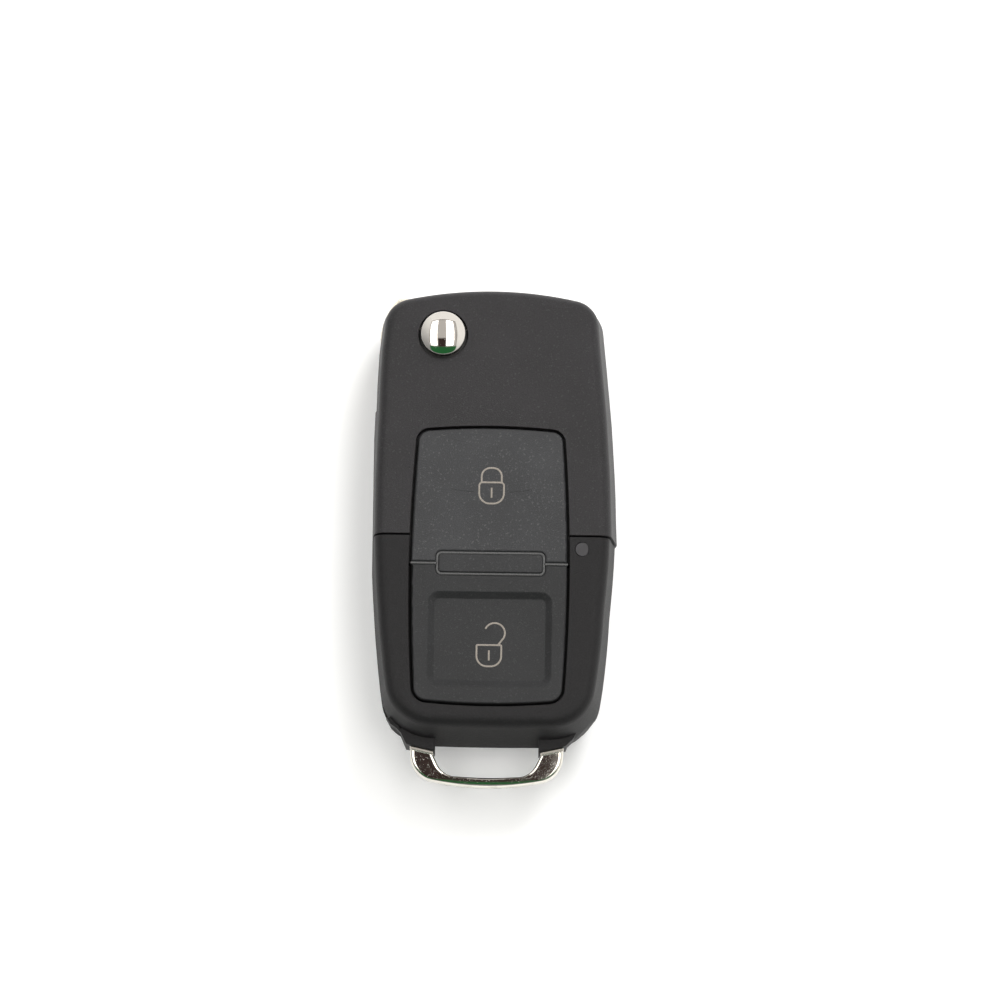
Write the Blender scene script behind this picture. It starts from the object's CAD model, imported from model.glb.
"""Looks of a folding car key with two buttons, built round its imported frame.

The key lies on its back: +Z out of the button face, +Y towards the head. Lengths are in metres.
"""

from math import cos, radians, sin, tan

import bmesh
import bpy
import numpy as np
from mathutils import Matrix, Vector


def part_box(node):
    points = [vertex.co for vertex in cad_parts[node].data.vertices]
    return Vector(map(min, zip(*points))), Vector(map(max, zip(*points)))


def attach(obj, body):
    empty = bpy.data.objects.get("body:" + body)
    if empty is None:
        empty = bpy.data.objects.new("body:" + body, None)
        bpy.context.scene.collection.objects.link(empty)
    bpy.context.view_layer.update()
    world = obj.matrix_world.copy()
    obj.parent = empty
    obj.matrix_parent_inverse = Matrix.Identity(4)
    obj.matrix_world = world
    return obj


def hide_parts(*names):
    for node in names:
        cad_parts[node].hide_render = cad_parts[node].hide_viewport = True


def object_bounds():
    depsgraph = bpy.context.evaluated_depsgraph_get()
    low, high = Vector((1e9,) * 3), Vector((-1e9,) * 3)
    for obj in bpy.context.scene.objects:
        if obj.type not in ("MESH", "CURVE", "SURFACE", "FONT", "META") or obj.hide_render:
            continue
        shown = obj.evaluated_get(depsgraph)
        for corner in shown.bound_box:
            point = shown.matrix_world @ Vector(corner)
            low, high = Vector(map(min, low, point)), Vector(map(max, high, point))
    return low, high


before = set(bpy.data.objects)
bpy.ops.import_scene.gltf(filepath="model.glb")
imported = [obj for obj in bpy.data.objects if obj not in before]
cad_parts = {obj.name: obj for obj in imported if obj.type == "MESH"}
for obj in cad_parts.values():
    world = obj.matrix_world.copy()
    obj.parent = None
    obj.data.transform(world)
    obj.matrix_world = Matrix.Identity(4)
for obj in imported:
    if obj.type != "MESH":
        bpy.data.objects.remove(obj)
cad_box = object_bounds()

# Housing: four mouldings in black nylon, two for the head end and two for the remote end.
# The mould is spark-eroded, which leaves an even fine grain, and handling has dusted it a little.

MM = 0.001


def feed(node, sockets):
    """Sets a node's sockets: a wire is linked, and anything else is the socket's own value."""
    for name, value in sockets.items():
        if isinstance(value, Wire):
            value.tree.links.new(value.socket, node.inputs[name])
        else:
            node.inputs[name].default_value = value


class Wire:
    """One socket of a node tree. A sum of wires and numbers adds its Math nodes to the tree."""

    def __init__(self, tree, socket=None):
        self.tree = tree
        self.socket = socket

    def node(self, kind, settings=None, sockets=None, output=0):
        """Adds a node of a kind, with its settings first and then its sockets."""
        made = self.tree.nodes.new(kind)
        for name, value in (settings or {}).items():
            setattr(made, name, value)
        feed(made, sockets or {})
        return Wire(self.tree, made.outputs[output])

    def maths(self, operation, first, second):
        return self.node("ShaderNodeMath", {"operation": operation}, {0: first, 1: second})

    def __add__(self, other):
        return self.maths("ADD", self, other)

    def __radd__(self, other):
        return self.maths("ADD", other, self)

    def __sub__(self, other):
        return self.maths("SUBTRACT", self, other)

    def __rsub__(self, other):
        return self.maths("SUBTRACT", other, self)

    def __mul__(self, other):
        return self.maths("MULTIPLY", self, other)

    def __rmul__(self, other):
        return self.maths("MULTIPLY", other, self)

    def __truediv__(self, other):
        return self.maths("DIVIDE", self, other)

    def between(self, low, high):
        """0 below low, 1 above high and a smooth step from one to the other."""
        return self.node("ShaderNodeMapRange", {"interpolation_type": "SMOOTHSTEP"},
                         {"Value": self, "From Min": low, "From Max": high})

    def within(self, low, high, soft):
        """1 from low to high and 0 outside, with soft borders."""
        return self.between(low - soft, low + soft) * (1 - self.between(high - soft, high + soft))

    def axis(self, name):
        """One coordinate of a place."""
        return self.node("ShaderNodeSeparateXYZ", {}, {0: self}, name)

    def noise(self, size, detail=2.0, stretch=(1, 1, 1)):
        """Noise at a place, with blotches about one size across, in metres, over the stretch."""
        where = self.node("ShaderNodeMapping", {}, {"Vector": self, "Scale": stretch})
        return self.node("ShaderNodeTexNoise", {},
                         {"Vector": where, "Scale": 1 / size, "Detail": detail})

    def blend(self, low, high):
        """The colour low where the wire is 0 and high where it is 1."""
        return self.node("ShaderNodeMix", {"data_type": "RGBA"}, {0: self, 6: low, 7: high}, 2)

    def bump(self, depth, edge=None):
        """Normal of a surface raised by the wire times a depth, over edges rounded by a radius."""
        sockets = {"Height": self, "Distance": depth}
        if edge:
            sockets["Normal"] = self.node("ShaderNodeBevel", {"samples": 6}, {"Radius": edge})
        return self.node("ShaderNodeBump", {}, sockets)


def new_finish(name):
    """A material with one shader: the material, its shader and the piece's own coordinates."""
    finish = bpy.data.materials.new(name)
    finish.use_nodes = True
    place = Wire(finish.node_tree).node("ShaderNodeTexCoord", output="Object")
    return finish, finish.node_tree.nodes["Principled BSDF"], place


def dress(finish, *nodes):
    """Gives a finish to CAD nodes."""
    for node in nodes:
        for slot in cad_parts[node].material_slots:
            slot.material = finish


def shade(colour, level):
    """A colour times a level."""
    return tuple(part * level for part in colour) + (1.0,)


nylon_black = (1.03, 0.94, 1.05)
cap_grey = (0.98, 1.0, 1.07)
plain_grey = (1.0, 1.0, 1.0)


def moulded_plastic(name, colour, level, roughness, grain, relief, edge=None, gloss=0.4):
    """Moulded plastic: a grain of a size and relief, cloudy colour, fine dust and softened edges."""
    finish, shader, place = new_finish(name)
    pebbles = place.noise(grain, 2.0)
    cloud = place.noise(9 * MM, 3.0)
    dust = place.noise(0.28 * MM, 1.0).between(0.6, 0.78)
    tint = cloud * 0.35 + pebbles * 0.65
    body = tint.between(0.35, 0.65).blend(shade(colour, level * 0.7), shade(colour, level * 1.3))
    feed(shader, {
        "Base Color": (dust * 0.6).blend(body, shade(plain_grey, level * 3.4)),
        "Roughness": cloud * 0.1 + dust * 0.15 + roughness,
        "Normal": pebbles.bump(relief, edge),
        "Specular IOR Level": gloss,
    })
    return finish


nylon_grain = {"grain": 0.19 * MM, "relief": 0.04 * MM, "edge": 0.14 * MM}
grained_nylon = moulded_plastic("grained_nylon", nylon_black, 0.0135, 0.48, **nylon_grain)
handled_nylon = moulded_plastic("handled_nylon", nylon_black, 0.006, 0.52, gloss=0.33, **nylon_grain)

# The mouldings' sides are a little fuller or slimmer than their drawing. An ease holds places along
# the key, and how far the left side and the right side move outwards there. The foot line holds
# places along the key, and the left and right edges that nothing passes there. All in millimetres.
ease_from, ease_full = 12.0 * MM, 16.0 * MM
head_ease = (
    (-3.0, 3.5, 8.0, 13.0, 18.0, 23.0, 28.0, 33.0),
    (0.2, 0.27, 0.36, 0.4, 0.41, 0.58, 0.68, 0.5),
    (0.0, 0.0, 0.1, 0.1, 0.12, 0.06, 0.03, 0.05),
)
remote_ease = (
    (-28.0, -23.0, -18.0, -11.0, -6.0, -1.0),
    (0.3, 0.24, 0.13, 0.06, 0.1, 0.2),
    (-0.25, -0.25, -0.37, -0.58, -0.43, -0.3),
)
foot_line = ((-34.0, -31.5, -29.0, -26.0), (-12.1, -12.5, -14.7, -16.4), (10.4, 10.9, 13.6, 16.4))


def merged_copy(node):
    """A copy of a CAD node's mesh with its loose triangles joined, and the same smooth normals."""
    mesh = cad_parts[node].data.copy()
    normals = np.empty(len(mesh.loops) * 3)
    mesh.corner_normals.foreach_get("vector", normals)
    mesh.attributes.new("smooth", "FLOAT_VECTOR", "CORNER").data.foreach_set("vector", normals)
    merged = bmesh.new()
    merged.from_mesh(mesh)
    bmesh.ops.remove_doubles(merged, verts=merged.verts, dist=0.0001 * MM)
    merged.to_mesh(mesh)
    merged.free()
    smooth = mesh.attributes["smooth"]
    normals = np.empty(len(mesh.loops) * 3)
    smooth.data.foreach_get("vector", normals)
    mesh.attributes.remove(smooth)
    mesh.normals_split_custom_set(normals.reshape(-1, 3))
    return mesh


def along_key(rows, y):
    """The left and the right values of a table at places along the key, in metres."""
    along, left_side, right_side = (np.array(row) * MM for row in rows)
    return np.interp(y, along, left_side), np.interp(y, along, right_side)


def eased_moulding(node, body, ease, finish):
    """A merged copy of a CAD moulding with its sides moved: x grows outwards by the ease times a
    smooth step of its size, then keeps inside the foot line, or inside the CAD box above the feet."""
    mesh = merged_copy(node)
    places = np.empty(len(mesh.vertices) * 3)
    mesh.vertices.foreach_get("co", places)
    x, y = places[0::3], places[1::3]
    share = np.clip((np.abs(x) - ease_from) / (ease_full - ease_from), 0, 1)
    to_left, to_right = along_key(ease, y)
    x += share * share * (3 - 2 * share) * np.where(x < 0, -to_left, to_right)
    left_edge, right_edge = along_key(foot_line, y)
    above_feet = y >= foot_line[0][-1] * MM
    left_edge[above_feet] = cad_box[0][0]
    right_edge[above_feet] = cad_box[1][0]
    np.clip(x, left_edge, right_edge, out=x)
    mesh.vertices.foreach_set("co", places)
    mesh.update()
    mesh.materials.clear()
    mesh.materials.append(finish)
    piece = bpy.data.objects.new(node + "_moulding", mesh)
    bpy.context.scene.collection.objects.link(piece)
    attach(piece, body)
    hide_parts(node)
    dress(finish, node)


eased_moulding("head_front_shell", "head_half", head_ease, grained_nylon)
eased_moulding("head_rear_shell", "head_half", head_ease, grained_nylon)
eased_moulding("remote_front_shell", "remote_half", remote_ease, handled_nylon)
eased_moulding("battery_cover", "cover", remote_ease, handled_nylon)

# Buttons and the bar between them: satin-painted caps on one rubber mat, a tone lighter than the
# housing. The lower cap has a thumb dish, and a light padlock is pad-printed on each.

cap_grain = 0.15 * MM
fine_relief, thumbed_relief = 0.014 * MM, 0.03 * MM
cap_edge, bar_edge = 0.2 * MM, 0.08 * MM
dress(moulded_plastic("satin_paint", cap_grey, 0.028, 0.44, cap_grain, fine_relief, cap_edge),
      "lock_button")
dress(moulded_plastic("thumbed_paint", cap_grey, 0.0145, 0.5, cap_grain, thumbed_relief, cap_edge),
      "unlock_button")
dress(moulded_plastic("bar_paint", cap_grey, 0.018, 0.44, cap_grain, fine_relief, bar_edge),
      "divider_bar")


def arc(centre, radius, start, stop, steps=24):
    """Points of an arc: the centre plus the radius times cosine and sine of even angles, in
    degrees."""
    angle = np.radians(np.linspace(start, stop, steps))
    return np.stack([centre[0] + radius * np.cos(angle), centre[1] + radius * np.sin(angle)], -1)


def rounded(corners, radii, steps=10):
    """A polygon with an arc at each corner. Its centre lies on the corner's bisector, the radius
    over the sine of half the corner's angle away, and its sweep is the turn from side to side."""
    corners = np.array(corners, float)
    parts = []
    for number, (corner, radius) in enumerate(zip(corners, radii)):
        if radius == 0:
            parts.append(corner[None])
            continue
        before = corners[number - 1] - corner
        after = corners[(number + 1) % len(corners)] - corner
        before /= np.linalg.norm(before)
        after /= np.linalg.norm(after)
        half = np.arccos(before @ after) / 2
        middle_line = (before + after) / np.linalg.norm(before + after)
        centre = corner + middle_line * radius / sin(half)
        first = corner + before * radius / tan(half) - centre
        start = np.degrees(np.arctan2(first[1], first[0]))
        turn = np.degrees(np.arctan2(after[0] * before[1] - after[1] * before[0], -before @ after))
        parts.append(arc(centre, radius, start, start + turn, steps))
    return np.concatenate(parts)


def skin(points, round_u=False, round_v=False, ends=False):
    """Vertices and faces of a grid of points, closed along u or v, or capped at its ends."""
    index = np.arange(points.shape[0] * points.shape[1]).reshape(points.shape[:2])
    caps = [index[0].tolist()[::-1], index[-1].tolist()] if ends else []
    if round_u:
        index = np.vstack([index, index[:1]])
    if round_v:
        index = np.hstack([index, index[:, :1]])
    faces = np.stack([index[:-1, :-1], index[1:, :-1], index[1:, 1:], index[:-1, 1:]], axis=-1)
    return points.reshape(-1, 3), faces.reshape(-1, 4).tolist() + caps


def new_piece(name, skins, body, finish, sharp=35.0):
    """One object of closed skins, smooth up to an angle between faces, riding on a body."""
    places, faces, count = [], [], 0
    for points, polygons in skins:
        places.append(points)
        faces += [[corner + count for corner in polygon] for polygon in polygons]
        count += len(points)
    mesh = bpy.data.meshes.new(name)
    mesh.from_pydata(np.concatenate(places), [], faces)
    outward = bmesh.new()
    outward.from_mesh(mesh)
    bmesh.ops.recalc_face_normals(outward, faces=outward.faces)
    outward.to_mesh(mesh)
    outward.free()
    mesh.shade_smooth()
    mesh.set_sharp_from_angle(angle=radians(sharp))
    mesh.materials.append(finish)
    piece = bpy.data.objects.new(name, mesh)
    bpy.context.scene.collection.objects.link(piece)
    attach(piece, body)
    return piece


def along_normal(path, closed):
    """Unit normals of a flat path: its tangent, by differences of neighbours, turned a quarter."""
    if closed:
        tangent = np.roll(path, -1, axis=0) - np.roll(path, 1, axis=0)
    else:
        tangent = np.gradient(path, axis=0)
    tangent /= np.linalg.norm(tangent, axis=1, keepdims=True)
    return np.stack([-tangent[:, 1], tangent[:, 0]], axis=-1)


def band(path, section, closed=False):
    """A solid strip: at each point of a flat path stands a section, whose first numbers go along
    the path's normal and whose second ones go up."""
    section = np.array(section)
    flat = path[:, None] + along_normal(path, closed)[:, None] * section[:, :1]
    height = np.broadcast_to(section[:, 1], flat.shape[:2])
    return skin(np.dstack([flat, height]), round_u=closed, round_v=True, ends=not closed)


def slab(path, low, high, edge):
    """A flat solid with an outline, whose rims are set in by an edge at the bottom and the top."""
    inward = along_normal(path, True) * edge
    if np.sum(inward * (path.mean(axis=0) - path)) < 0:
        inward = -inward
    rings = [(path + inward, low), (path, low + edge), (path, high - edge), (path + inward, high)]
    grid = [np.column_stack([ring, np.full(len(ring), height)]) for ring, height in rings]
    return skin(np.array(grid), round_v=True, ends=True)


line_width = 0.26 * MM
print_thickness = 0.015 * MM


def printed_line(path, level, closed=False, width=line_width, thickness=print_thickness):
    """A low ribbon on a face at a level, with a shallow crown."""
    crown = [(1.0, 0.0), (0.8, 0.8), (0.3, 1.0), (-0.3, 1.0), (-0.8, 0.8), (-1.0, 0.0)]
    return band(path, [(aside * width / 2, level + rise * thickness) for aside, rise in crown], closed)


padlock_half = 1.84 * MM
padlock_height = 3.22 * MM
padlock_foot = 1.55 * MM
keyhole_top = 0.8 * MM
keyhole_foot = -0.72 * MM


def padlock_body(x, y, corner):
    """Outline of a padlock's body about its middle: shoulders with a radius, and a round foot."""
    top, foot = y + padlock_height / 2, y - padlock_height / 2
    return rounded([(x - padlock_half, top), (x - padlock_half, foot), (x + padlock_half, foot),
                    (x + padlock_half, top)], [corner, padlock_foot, padlock_foot, corner])


def keyhole(x, y, level):
    """Short upright stroke in the middle of the padlock."""
    return printed_line(np.linspace((x, y + keyhole_top), (x, y + keyhole_foot), 6), level)


pad_print, shader, place = new_finish("pad_print")
wear = place.noise(0.12 * MM, 2.0)
feed(shader, {
    "Base Color": wear.between(0.3, 0.7).blend((0.20, 0.178, 0.155, 1), (0.31, 0.28, 0.245, 1)),
    "Roughness": wear * 0.2 + 0.5,
    "Normal": wear.bump(0.002 * MM),
    "Specular IOR Level": 0.3,
})

face_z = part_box("lock_button")[1].z
closed_x, closed_y = -0.45 * MM, 5.95 * MM
closed_corner = 0.5 * MM
closed_top = closed_y + padlock_height / 2
shackle_half = 1.5 * MM
shackle_rise = 2.2 * MM
shackle_shoulder = 1.3 * MM
closed_shackle = rounded([
    (closed_x + shackle_half, closed_top),
    (closed_x + shackle_half, closed_top + shackle_rise),
    (closed_x - shackle_half, closed_top + shackle_rise),
    (closed_x - shackle_half, closed_top),
], [0, shackle_shoulder, shackle_shoulder, 0])
new_piece("closed_padlock_print", [
    printed_line(padlock_body(closed_x, closed_y, closed_corner), face_z, closed=True),
    printed_line(closed_shackle, face_z),
    keyhole(closed_x, closed_y, face_z),
], "lock_key", pad_print)

dish_z = face_z - 0.6 * MM
open_x, open_y = -0.53 * MM, -18.66 * MM
open_corner = 0.15 * MM
open_radius = 1.52 * MM
open_centre = (0.3 * MM, -15.22 * MM)
open_foot = (0.8 * MM, open_y + padlock_height / 2)
open_shackle = np.concatenate([
    np.linspace(open_foot, arc(open_centre, open_radius, -28, -28, 1)[0], 5),
    arc(open_centre, open_radius, -20, 155),
])
new_piece("open_padlock_print", [
    printed_line(padlock_body(open_x, open_y, open_corner), dish_z, closed=True),
    printed_line(open_shackle, dish_z),
    keyhole(open_x, open_y, dish_z),
], "unlock_key", pad_print)

# Hairline of the upper cap: a flat arc either side of the padlock, left by the mould's insert.

hairline_finish = moulded_plastic("hairline_shade", cap_grey, 0.018, 0.55, cap_grain, fine_relief)
hairline_centre = (-0.4 * MM, 42.0 * MM)
hairline_radius = 36.0 * MM
hairline = {"width": 0.13 * MM, "thickness": 0.004 * MM}
new_piece("button_hairline", [
    printed_line(arc(hairline_centre, hairline_radius, start, stop), face_z, **hairline)
    for start, stop in ((-99.6, -94.2), (-85.8, -80.4))
], "lock_key", hairline_finish)

# Rubber mat under the caps, dark silicone with a powdery face, and a lighter gasket of the same
# rubber that grips the bar and lies with an arm in the joint on each side of it.


def rubber(name, low, high):
    """Silicone between two grey levels."""
    finish, shader, place = new_finish(name)
    powder = place.noise(0.2 * MM, 3.0)
    tint = powder.between(0.3, 0.7)
    feed(shader, {
        "Base Color": tint.blend(shade(plain_grey, low), shade(plain_grey, high)),
        "Roughness": powder * 0.2 + 0.65,
        "Normal": powder.bump(0.01 * MM),
        "Specular IOR Level": 0.3,
    })
    return finish


dress(rubber("dark_silicone", 0.02, 0.035), "keypad_mat")

bar_low, bar_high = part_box("divider_bar")
joint_depth = 0.17 * MM
gasket_high = face_z - joint_depth
gasket_low = gasket_high - 1.0 * MM
gasket_half = 0.155 * MM
gasket_rim = 0.04 * MM
bar_half_x, bar_half_y = 7.8 * MM, 1.45 * MM
bar_radius = 0.5 * MM
bar_x, split_y = (bar_low.x + bar_high.x) / 2, (bar_low.y + bar_high.y) / 2
split_left, split_right = -12.35 * MM, 11.05 * MM
gasket_section = [
    (gasket_half, gasket_low), (gasket_half, gasket_high - gasket_rim),
    (gasket_half - gasket_rim, gasket_high), (gasket_rim - gasket_half, gasket_high),
    (-gasket_half, gasket_high - gasket_rim), (-gasket_half, gasket_low),
]
left, right = bar_x - bar_half_x - gasket_half, bar_x + bar_half_x + gasket_half
bottom, top = split_y - bar_half_y - gasket_half, split_y + bar_half_y + gasket_half
ring = rounded([(left, bottom), (right, bottom), (right, top), (left, top)],
               [bar_radius + gasket_half] * 4)
new_piece("joint_gasket", [
    band(ring, gasket_section, closed=True),
    band(np.linspace((split_left, split_y), (left, split_y), 12), gasket_section),
    band(np.linspace((right, split_y), (split_right, split_y), 12), gasket_section),
], "remote_half", rubber("grey_silicone", 0.075, 0.115))

# Circuit board: glass-fibre board under green solder mask, with tracks that lift the mask a
# little, bare vias, and a wide copper aerial round its tongue.

solder_mask, shader, place = new_finish("solder_mask")
lanes = place.node("ShaderNodeTexBrick", {"offset": 0.37, "squash": 0.7, "squash_frequency": 3}, {
    "Vector": place, "Scale": 420.0, "Mortar Size": 0.09, "Mortar Smooth": 0.2, "Brick Width": 0.9,
    "Row Height": 0.55}, "Fac")
vias = place.node("ShaderNodeTexVoronoi", {}, {"Vector": place, "Scale": 330.0}, "Distance")
holes = 1 - vias.between(0.1, 0.13)
mask = lanes.blend((0.006, 0.075, 0.03, 1), (0.02, 0.14, 0.055, 1))
feed(shader, {
    "Base Color": holes.blend(mask, (0.72, 0.5, 0.24, 1)),
    "Metallic": holes,
    "Roughness": 0.35 - holes * 0.1,
    "Normal": (lanes - holes).bump(0.02 * MM),
    "Coat Weight": 0.4,
})
dress(solder_mask, "circuit_board")


metal_edge = 0.08 * MM


def metal(name, colour, roughness, marks, relief, stain=0.0):
    """Metal with marks, a function of the place that varies its roughness and lifts its surface,
    and with a patchy stain that darkens it."""
    finish, shader, place = new_finish(name)
    lines = marks(place)
    patch = place.noise(1.3 * MM, 4.0).between(0.52, 0.75) * stain
    feed(shader, {
        "Base Color": patch.blend(shade(colour, 1.0), shade(colour, 0.35)),
        "Metallic": 1.0,
        "Roughness": lines * 0.12 + patch * 0.3 + roughness,
        "Normal": lines.bump(relief, metal_edge),
    })
    return finish


def etched(place):
    """Marks of an acid bath: a fine even noise."""
    return place.noise(0.25 * MM, 3.0)


tinned_copper = metal("tinned_copper", (0.78, 0.46, 0.26), 0.28, etched, 0.004 * MM, 0.5)
dress(tinned_copper, "aerial_trace")

# Push switches: black bodies with tinned legs, each with a cream plunger of acetal.


def body_with_leads(name, level, lead_top):
    """Black moulded body whose lowest part, up to the top of its leads, is bright metal."""
    finish, shader, place = new_finish(name)
    board_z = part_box("circuit_board")[1].z
    lead = 1 - place.axis("Z").between(board_z + lead_top * 0.9, board_z + lead_top * 1.1)
    fine = place.noise(0.08 * MM, 2.0)
    feed(shader, {
        "Base Color": lead.blend(shade(plain_grey, level), shade(plain_grey, 0.7)),
        "Metallic": lead,
        "Roughness": fine * 0.15 + 0.45 - lead * 0.2,
        "Normal": fine.bump(0.004 * MM),
    })
    return finish


lead_height = 0.3 * MM
dress(body_with_leads("switch_body", 0.02, lead_height), "lock_switch", "unlock_switch")

acetal, shader, place = new_finish("acetal")
haze = place.noise(0.6 * MM, 2.0)
feed(shader, {
    "Base Color": haze.blend((0.78, 0.74, 0.66, 1), (0.86, 0.83, 0.76, 1)),
    "Roughness": haze * 0.1 + 0.32,
    "Normal": haze.bump(0.002 * MM),
    "Subsurface Weight": 0.1,
    "Subsurface Scale": 0.4 * MM,
})
dress(acetal, "lock_plunger", "unlock_plunger")

# Chip, resonator can and lamp: a moulded package, a stamped can and a clear block over phosphor.

dress(body_with_leads("chip_body", 0.012, lead_height), "controller_chip")
stamped_can = metal("stamped_can", (0.78, 0.76, 0.72), 0.22, etched, 0.003 * MM)
dress(stamped_can, "resonator_can")

phosphor, shader, place = new_finish("lamp_resin")
core = place.noise(0.5 * MM, 2.0)
feed(shader, {
    "Base Color": core.blend((0.85, 0.72, 0.32, 1), (0.92, 0.9, 0.82, 1)),
    "Roughness": core * 0.1 + 0.15,
    "Normal": core.bump(0.002 * MM),
    "Coat Weight": 0.6,
})
dress(phosphor, "indicator_led")

# Window of the lamp: a rod of smoked polycarbonate, flush with the face.

smoked_rod, shader, place = new_finish("smoked_rod")
swirl = place.noise(0.7 * MM, 2.0)
feed(shader, {
    "Base Color": swirl.blend((0.024, 0.023, 0.025, 1), (0.034, 0.032, 0.035, 1)),
    "Roughness": swirl * 0.1 + 0.4,
    "Normal": swirl.bump(0.004 * MM),
})
dress(smoked_rod, "led_window")

# Coin cell and its contacts: a spun steel can with ring-shaped marks, and springy plated strips.


def turned(centre):
    """Marks of a lathe: noise of the distance from the axis alone."""
    def marks(place):
        flat = place.node("ShaderNodeMapping", {}, {
            "Vector": place, "Location": (-centre.x, -centre.y, 0), "Scale": (1, 1, 0)})
        reach = place.node("ShaderNodeVectorMath", {"operation": "LENGTH"}, {0: flat}, "Value")
        return place.node("ShaderNodeTexNoise", {"noise_dimensions": "1D"}, {
            "W": reach, "Scale": 1 / (0.12 * MM), "Detail": 3.0})
    return marks


def middle(node):
    """Middle of a node's box."""
    low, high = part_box(node)
    return (low + high) / 2


spun_steel = metal("spun_steel", (0.74, 0.74, 0.73), 0.2, turned(middle("coin_cell")), 0.004 * MM)
dress(spun_steel, "coin_cell")
plated_strip = metal("plated_strip", (0.80, 0.68, 0.42), 0.25, etched, 0.003 * MM, 0.3)
dress(plated_strip, "rim_contact", "leaf_contact")

# Bail: a bent bar of steel, polished and chromed, whose face falls away towards the end and is
# crowned across. Thin collars bear on the feet of the housing, and tenons go up into them.


def rubbed(place):
    """Marks of a pocket: scuffs drawn out along the key, and a few pits."""
    scuffs = place.noise(0.5 * MM, 3.0, (1, 0.25, 1))
    pits = place.noise(0.16 * MM, 1.0).between(0.66, 0.74)
    return scuffs * 0.5 + pits


worn_chrome = metal("worn_chrome", (0.80, 0.77, 0.70), 0.07, rubbed, 0.0025 * MM, 0.25)

bail_x = -0.65 * MM
bail_low, bail_high = 6.0 * MM, 9.4 * MM
outer_half, inner_half, inner_waist = 11.4 * MM, 8.15 * MM, 6.5 * MM
outer_start, outer_corner, outer_end = -31.6 * MM, -35.9 * MM, -38.05 * MM
inner_start, inner_corner, inner_end = -32.4 * MM, -35.7 * MM, -36.05 * MM
outer_radius, outer_bow = 3.9 * MM, 40.0 * MM
inner_radius, inner_bow = 3.0 * MM, 60.0 * MM
fall = tan(radians(11.0))
crown_drop = 0.1 * MM


def bowl(half, waist, start, corner, end, radius, bow):
    """One side of the bail in plan: down a leg, round a corner, along the bowed end and up."""
    return rounded([
        (bail_x - half, start), (bail_x - waist, corner), (bail_x, end), (bail_x + waist, corner),
        (bail_x + half, start)], [0, radius, bow, radius, 0], steps=40)


def by_turn(path, centre_y, count):
    """Points of a path at even shares of its turn about a centre, from its first to its last."""
    turn = np.unwrap(np.arctan2(path[:, 1] - centre_y, path[:, 0] - bail_x))
    share = (turn - turn[0]) / (turn[-1] - turn[0])
    even = np.linspace(0, 1, count)
    return np.stack([np.interp(even, share, path[:, 0]), np.interp(even, share, path[:, 1])], -1)


stations = 161
turn_centre = -29.0 * MM
outside = by_turn(bowl(outer_half, outer_half, outer_start, outer_corner, outer_end, outer_radius,
                       outer_bow), turn_centre, stations)
inside = by_turn(bowl(inner_half, inner_waist, inner_start, inner_corner, inner_end, inner_radius,
                      inner_bow), turn_centre, stations)

# Section of the bail: share of the way across, then how far on from there, then the height, and
# last 1 where the height falls with the face.
face_share = np.linspace(0, 1, 9)
inner_bevel, outer_bevel = 0.3 * MM, 0.35 * MM
rim_high = bail_high - crown_drop
section = np.array([
    (0, 0.25 * MM, bail_low, 0), (0, 0.0, bail_low + 0.25 * MM, 0),
    (0, 0.0, bail_high - 0.4 * MM, 1), (0, 0.06 * MM, bail_high - 0.22 * MM, 1),
    (0, 0.18 * MM, bail_high - 0.06 * MM, 1),
    *[(share, inner_bevel - (inner_bevel + outer_bevel) * share,
       bail_high - crown_drop * share ** 1.7, 1) for share in face_share],
    (1, -0.2 * MM, rim_high - 0.09 * MM, 1), (1, -0.07 * MM, rim_high - 0.26 * MM, 1),
    (1, 0.0, rim_high - 0.6 * MM, 1), (1, 0.0, bail_low + 0.45 * MM, 0),
    (1, -0.1 * MM, bail_low + 0.14 * MM, 0), (1, -0.35 * MM, bail_low, 0),
])
across = outside - inside
width = np.linalg.norm(across, axis=1)[:, None, None]
flat = inside[:, None] + across[:, None] * (section[:, :1] + section[:, 1:2] / width)
height = section[:, 2] + section[:, 3] * fall * (flat[..., 1] - outer_start)
bail_skins = [skin(np.dstack([flat, height]), round_v=True, ends=True)]

collar_low, collar_high, collar_thickness = 5.7 * MM, 9.7 * MM, 0.5 * MM
near_x, near_y = 7.95 * MM, -32.3 * MM
far_x, far_y = 11.45 * MM, -31.53 * MM
tenon_x, tenon_half, tenon_top = 9.725 * MM, 1.0 * MM, -29.8 * MM
tenon_low, tenon_high = 6.4 * MM, 9.0 * MM
soft_edge = 0.08 * MM
for side in (-1, 1):
    near, far = bail_x + side * near_x, bail_x + side * far_x
    plate = [(near, near_y), (far, far_y), (far, far_y - collar_thickness),
             (near, near_y - collar_thickness)]
    bail_skins.append(slab(rounded(plate, [soft_edge] * 4), collar_low, collar_high, soft_edge))
    first, last = bail_x + side * tenon_x - tenon_half, bail_x + side * tenon_x + tenon_half
    tenon = [(first, near_y), (last, near_y), (last, tenon_top), (first, tenon_top)]
    bail_skins.append(slab(rounded(tenon, [soft_edge] * 4), tenon_low, tenon_high, soft_edge))
bail = new_piece("polished_bail", bail_skins, "remote_half", worn_chrome)
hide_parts("key_bail")
dress(worn_chrome, "key_bail")

# Screw and transponder of the head: a blackened screw, and a capsule of grey glazed ceramic.

lathe_marks = turned(middle("head_screw"))
blackened = metal("blackened_steel", (0.12, 0.12, 0.13), 0.32, lathe_marks, 0.003 * MM)
dress(blackened, "head_screw")

glazed, shader, place = new_finish("glazed_ceramic")
fleck = place.noise(0.3 * MM, 3.0)
feed(shader, {
    "Base Color": fleck.blend((0.05, 0.05, 0.055, 1), (0.10, 0.10, 0.105, 1)),
    "Roughness": fleck * 0.15 + 0.25,
    "Normal": fleck.bump(0.004 * MM),
})
dress(glazed, "transponder_capsule")

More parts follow.
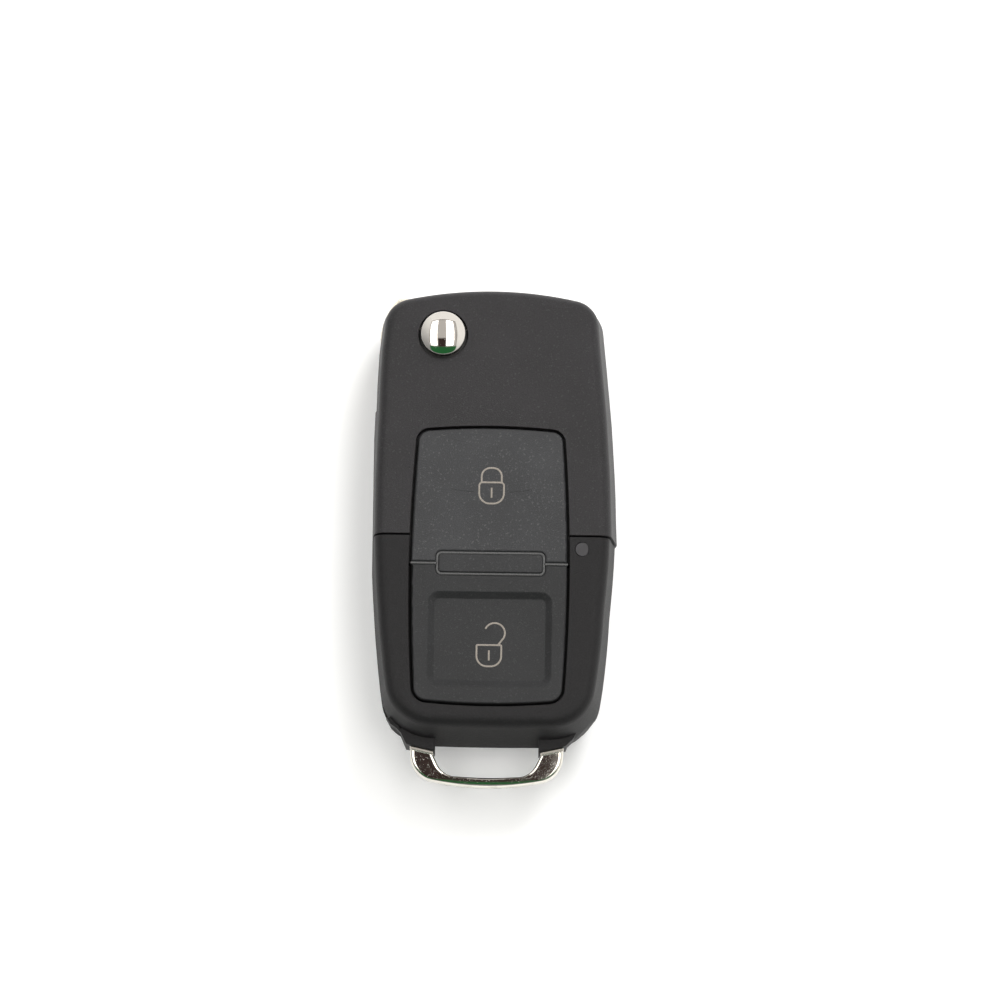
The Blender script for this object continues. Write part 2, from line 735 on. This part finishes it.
# Hub, blade and pin: the hub is cast and nickel-plated, the blade is milled from nickel silver
# and ground lengthways, and the pin is turned steel.


def cast_polish(place):
    """Marks of a polished casting: soft even noise."""
    return place.noise(0.35 * MM, 3.0)


def ground(place):
    """Marks of a grinding wheel: noise drawn out along the blade."""
    return place.noise(0.09 * MM, 3.0, (1, 0.02, 1))


plated_nickel = metal("plated_nickel", (0.82, 0.76, 0.65), 0.2, cast_polish, 0.004 * MM, 0.2)
dress(plated_nickel, "blade_hub")
nickel_silver = metal("nickel_silver", (0.62, 0.60, 0.56), 0.22, ground, 0.006 * MM, 0.2)
dress(nickel_silver, "key_blade")
turned_pin = metal("turned_pin", (0.6, 0.6, 0.61), 0.25, turned(middle("blade_pin")), 0.003 * MM)
dress(turned_pin, "blade_pin")

# Release button and its spring: a chromed cap with a low dome, pressed on a black acetal stem whose
# two lugs stop it under the housing, over a coil of drawn wire.


def revolved(profile, centre, steps=128):
    """A profile of radii and heights turned about an upright axis: x and y are the centre plus the
    radius times cosine and sine of even angles."""
    angle = np.linspace(0, 2 * np.pi, steps, endpoint=False)
    radius, height = profile[:, :1], profile[:, 1:]
    grid = [centre.x + radius * np.cos(angle), centre.y + radius * np.sin(angle),
            np.broadcast_to(height, (len(profile), steps))]
    return np.dstack(grid)


button_low, button_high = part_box("release_button")
button_centre = middle("release_button")
cap_radius = 3.34 * MM
cap_foot = 14.3 * MM
dome_radius = 6.5 * MM
dome_centre = button_high.z - dome_radius
cap_fillet = 0.3 * MM
bore_radius, bore_top = 2.7 * MM, 14.95 * MM
pole = 0.04 * MM
fillet_height = ((dome_radius - cap_fillet) ** 2 - (cap_radius - cap_fillet) ** 2) ** 0.5
fillet_start = float(np.degrees(np.arctan2(fillet_height, cap_radius - cap_fillet)))
pole_angle = float(np.degrees(np.arccos(pole / dome_radius)))
fillet_centre = (cap_radius - cap_fillet, dome_centre + fillet_height)
cap_profile = np.concatenate([
    arc((0, dome_centre), dome_radius, pole_angle, fillet_start, 40),
    arc(fillet_centre, cap_fillet, fillet_start, 0, 14)[1:],
    [(cap_radius, cap_foot), (bore_radius, cap_foot), (bore_radius, bore_top), (pole, bore_top)],
])
bright_chrome = metal("bright_chrome", (0.90, 0.86, 0.81), 0.03, rubbed, 0.0006 * MM, 0.05)
cap = new_piece("release_cap", [
    skin(revolved(cap_profile, button_centre), round_v=True, ends=True),
], "release", bright_chrome)
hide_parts("release_button")
dress(bright_chrome, "release_button")

black_acetal = moulded_plastic("black_acetal", plain_grey, 0.006, 0.4, 0.2 * MM, 0.004 * MM)
stem_radius = 3.3 * MM
flange_radius = 3.56 * MM
flange_low = 13.4 * MM
lug_reach, lug_half = 4.1 * MM, 1.0 * MM
lug_low, lug_high = 12.1 * MM, 13.3 * MM
stem_profile = np.array([
    (flange_radius, cap_foot), (flange_radius, flange_low), (stem_radius, flange_low),
    (stem_radius, button_low.z), (bore_radius, button_low.z), (bore_radius, cap_foot),
])
stem_skins = [skin(revolved(stem_profile, button_centre), round_u=True, round_v=True)]
lugs_run = button_high.x - button_low.x > button_high.y - button_low.y
for side in (-1, 1):
    lug = np.array([(side * bore_radius, -lug_half), (side * lug_reach, -lug_half),
                    (side * lug_reach, lug_half), (side * bore_radius, lug_half)])
    if not lugs_run:
        lug = lug[:, ::-1]
    outline = rounded(lug + (button_centre.x, button_centre.y), [soft_edge * 2] * 4)
    stem_skins.append(slab(outline, lug_low, lug_high, soft_edge))
stem = new_piece("release_stem", stem_skins, "release", black_acetal)
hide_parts("release_button")

drawn_wire = metal("drawn_wire", (0.55, 0.55, 0.56), 0.25, etched, 0.002 * MM, 0.2)
dress(drawn_wire, "release_spring")

# Studio: a pale floor in a white tent. Two long strips of light run overhead, one each side of the
# camera, whose dark shape and green mat show low in the chrome. A soft lamp fills from the head
# end.

scene = bpy.context.scene
scene.view_settings.view_transform = "Standard"

tilt = radians(12.0)
roll = radians(0.8)
aim = Vector((0.823, 5.322, 13.0)) * MM
distance = 1600 * MM
frame_width = 149.25 * MM
sensor_width = 36.0
back = Vector((0, -sin(tilt), cos(tilt)))
right_hand = Vector((cos(roll), sin(roll), 0))
upwards = back.cross(right_hand).normalized()
camera = bpy.data.objects.new("camera", bpy.data.cameras.new("camera"))
camera.data.sensor_width = sensor_width
camera.data.lens = sensor_width * distance / frame_width
camera.data.clip_start = 10 * MM
camera.matrix_world = Matrix.Translation(aim + back * distance) @ Matrix(
    (upwards.cross(back), upwards, back)).transposed().to_4x4()
scene.collection.objects.link(camera)
scene.camera = camera

floor_half = 1.5
floor_corners = [(side * floor_half, end * floor_half, 0)
                 for side, end in ((-1, -1), (1, -1), (1, 1), (-1, 1))]
floor_mesh = bpy.data.meshes.new("floor")
floor_mesh.from_pydata(floor_corners, [], [(0, 1, 2, 3)])
pale_floor, shader, place = new_finish("pale_floor")
paper = place.noise(0.7 * MM, 2.0)
feed(shader, {
    "Base Color": paper.blend(shade(plain_grey, 0.80), shade(plain_grey, 0.82)),
    "Roughness": 0.9,
    "Emission Color": shade(plain_grey, 1.0),
    "Emission Strength": 0.25,
})
floor_mesh.materials.append(pale_floor)
floor = bpy.data.objects.new("floor", floor_mesh)
scene.collection.objects.link(floor)

world = bpy.data.worlds.new("tent")
scene.world = world
world.use_nodes = True
towards = Wire(world.node_tree).node("ShaderNodeTexCoord", output="Generated")
lit_side = towards.node("ShaderNodeVectorMath", {"operation": "DOT_PRODUCT"}, {
    0: towards, 1: Vector((0.5, 0.75, 0.3)).normalized()}, "Value").between(-0.7, 0.7)

# Directions are read on a flat ceiling one unit up: aside and ahead are a direction's place there.
overhead = towards.maths("MAXIMUM", towards.axis("Z"), 0.05)
aside = towards.axis("X") / overhead
ahead = towards.axis("Y") / overhead
ceiling = aside.within(-0.75, 0.75, 0.02) * ahead.within(-0.5, 1.1, 0.02)
border = ceiling - aside.within(-0.71, 0.71, 0.02) * ahead.within(-0.5, 1.04, 0.02)
strips = aside.within(-0.68, -0.3, 0.03) + aside.within(0.16, 0.54, 0.03)
strips = strips * ahead.within(-0.45, 1.0, 0.04)
green_mat = aside.within(-0.8, 0.8, 0.05) * ahead.within(-1.3, -0.5, 0.04)
dark_shape = aside.within(-0.26, 0.14, 0.05) * ahead.within(-0.52, -0.08, 0.04)
glow = lit_side.blend((0.22, 0.22, 0.22, 1), (0.9, 0.89, 0.86, 1))
glow = ceiling.blend(glow, (0.5, 0.48, 0.46, 1))
glow = border.blend(glow, (0.14, 0.13, 0.12, 1))
glow = strips.blend(glow, (3.5, 3.45, 3.4, 1))
glow = green_mat.blend(glow, (0.02, 0.11, 0.035, 1))
glow = dark_shape.blend(glow, (0.035, 0.022, 0.02, 1))
feed(world.node_tree.nodes["Background"], {"Color": glow, "Strength": 1.0})

lamp = bpy.data.lights.new("soft_lamp", "AREA")
lamp.shape = "DISK"
lamp.size = 0.22
lamp.energy = 1.3
lamp_place = Vector((0.17, 0.30, 0.30))
lamp_aim = Vector((0, 0.02, 0))
soft_lamp = bpy.data.objects.new("soft_lamp", lamp)
soft_lamp.location = lamp_place
soft_lamp.rotation_euler = (lamp_place - lamp_aim).to_track_quat("Z", "Y").to_euler()
soft_lamp.visible_glossy = False
scene.collection.objects.link(soft_lamp)
